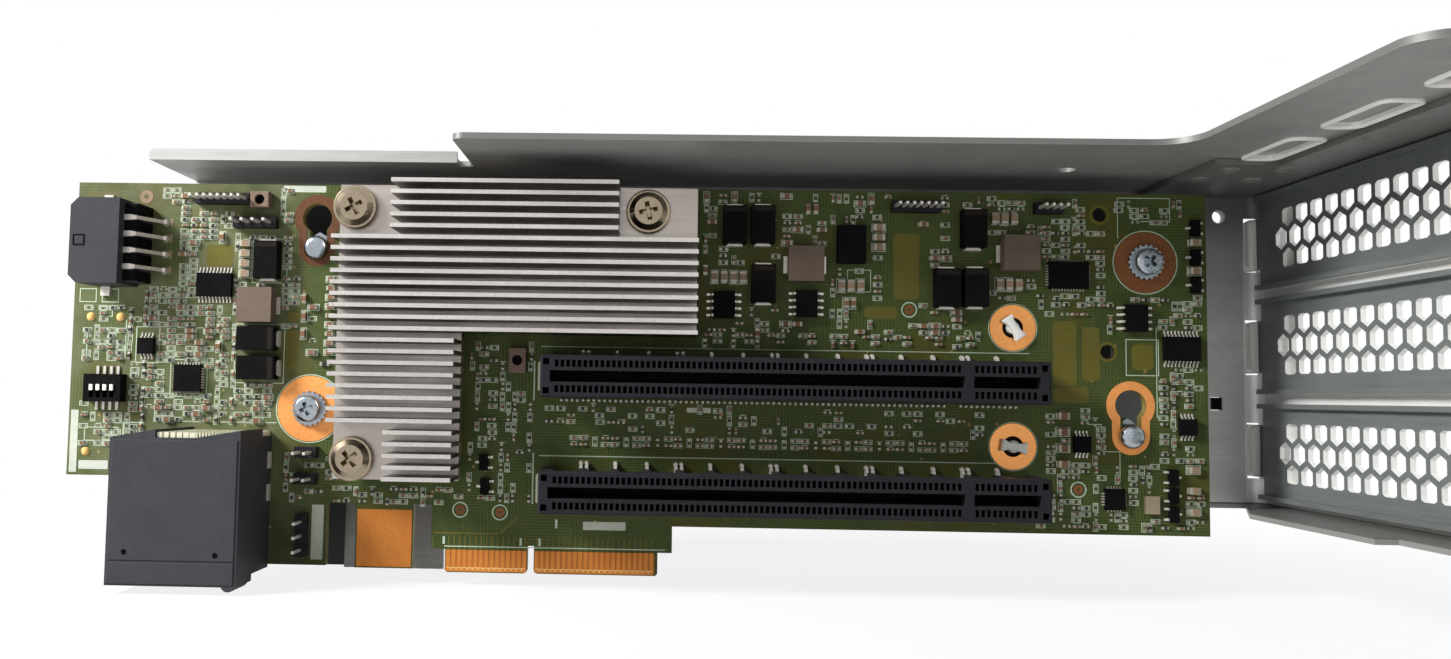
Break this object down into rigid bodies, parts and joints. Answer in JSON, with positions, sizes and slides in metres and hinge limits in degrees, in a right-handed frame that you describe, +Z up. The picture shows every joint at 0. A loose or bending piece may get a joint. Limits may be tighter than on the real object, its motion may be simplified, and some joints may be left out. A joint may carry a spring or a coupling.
{
  "type": "riser card",
  "caption": "Server riser card: green circuit board with card-edge sockets, finned heat sink and power header, carried in a folded steel cage with perforated slot covers",
  "frame": {"origin": "middle of the edge connector's key notch, on the lower edge of its tongue, in the board's mid-plane", "axes": "+X along the board towards the slot covers, +Z up as plugged in, -Y the component side"},
  "size_m": [0.2407, 0.1147, 0.0797],
  "materials": {
    "board_laminate": "green solder mask over glass laminate",
    "gold_plating": "gold-plated copper",
    "zinc_steel": "bright zinc plate",
    "nickel_screws": "nickel plate",
    "cage_steel": "galvanised sheet",
    "cover_steel": "galvanised sheet",
    "sink_aluminium": "clear anodised extrusion",
    "socket_black": "moulded, high-temperature",
    "connector_black": "moulded",
    "package_black": "moulded epoxy",
    "inductor_grey": "pressed powder core",
    "tinned_metal": "tin plate",
    "pad_grey": "gap filler",
    "slider_white": "moulded",
    "wafer_cream": "moulded",
    "white_nylon": "moulded",
    "black_film": "polyester film"
  },
  "bodies": {
    "card": {"circuit_board": "board_laminate", "edge_contacts": "gold_plating", "power_contacts": "gold_plating", "board_standoffs": "zinc_steel", "board_screws": "zinc_steel", "keyhole_studs": "zinc_steel", "support_posts": "white_nylon", "cage_plate": "cage_steel", "insulating_film": "black_film", "slot_wall": "cage_steel", "slot_cover_1": "cover_steel", "slot_cover_2": "cover_steel", "slot_cover_3": "cover_steel", "cover_screws": "zinc_steel", "heat_sink": "sink_aluminium", "heat_sink_spacers": "zinc_steel", "heat_sink_screws": "nickel_screws", "switch_chip": "package_black", "thermal_pad": "pad_grey", "upper_card_slot": "socket_black", "lower_card_slot": "socket_black", "link_connector_shell": "connector_black", "link_connector_wafers": "wafer_cream", "link_connector_shields": "tinned_metal", "power_header_shell": "connector_black", "power_header_pins": "tinned_metal", "power_header_ears": "tinned_metal", "header_strips": "connector_black", "header_pins": "tinned_metal", "dip_switch_body": "connector_black", "dip_switch_pins": "tinned_metal", "inductor_cores": "inductor_grey", "inductor_feet": "tinned_metal", "tantalum_bodies": "package_black", "tantalum_feet": "tinned_metal", "soic_packages": "package_black", "small_packages": "package_black", "tssop_packages": "package_black", "sot_packages": "package_black", "quad_packages": "package_black", "driver_package": "package_black", "crystal_can": "tinned_metal"},
    "dip_slider_1_body": {"dip_slider_1": "slider_white"},
    "dip_slider_2_body": {"dip_slider_2": "slider_white"},
    "dip_slider_3_body": {"dip_slider_3": "slider_white"},
    "dip_slider_4_body": {"dip_slider_4": "slider_white"}
  },
  "joints": [
    {"name": "dip_slider_1_slide", "type": "slide", "parent": "card", "child": "dip_slider_1_body", "axis": [0, 0, 1], "range_m": [-0.0012, 0]},
    {"name": "dip_slider_2_slide", "type": "slide", "parent": "card", "child": "dip_slider_2_body", "axis": [0, 0, 1], "range_m": [-0.0012, 0]},
    {"name": "dip_slider_3_slide", "type": "slide", "parent": "card", "child": "dip_slider_3_body", "axis": [0, 0, 1], "range_m": [-0.0012, 0]},
    {"name": "dip_slider_4_slide", "type": "slide", "parent": "card", "child": "dip_slider_4_body", "axis": [0, 0, 1], "range_m": [-0.0012, 0]}
  ]
}
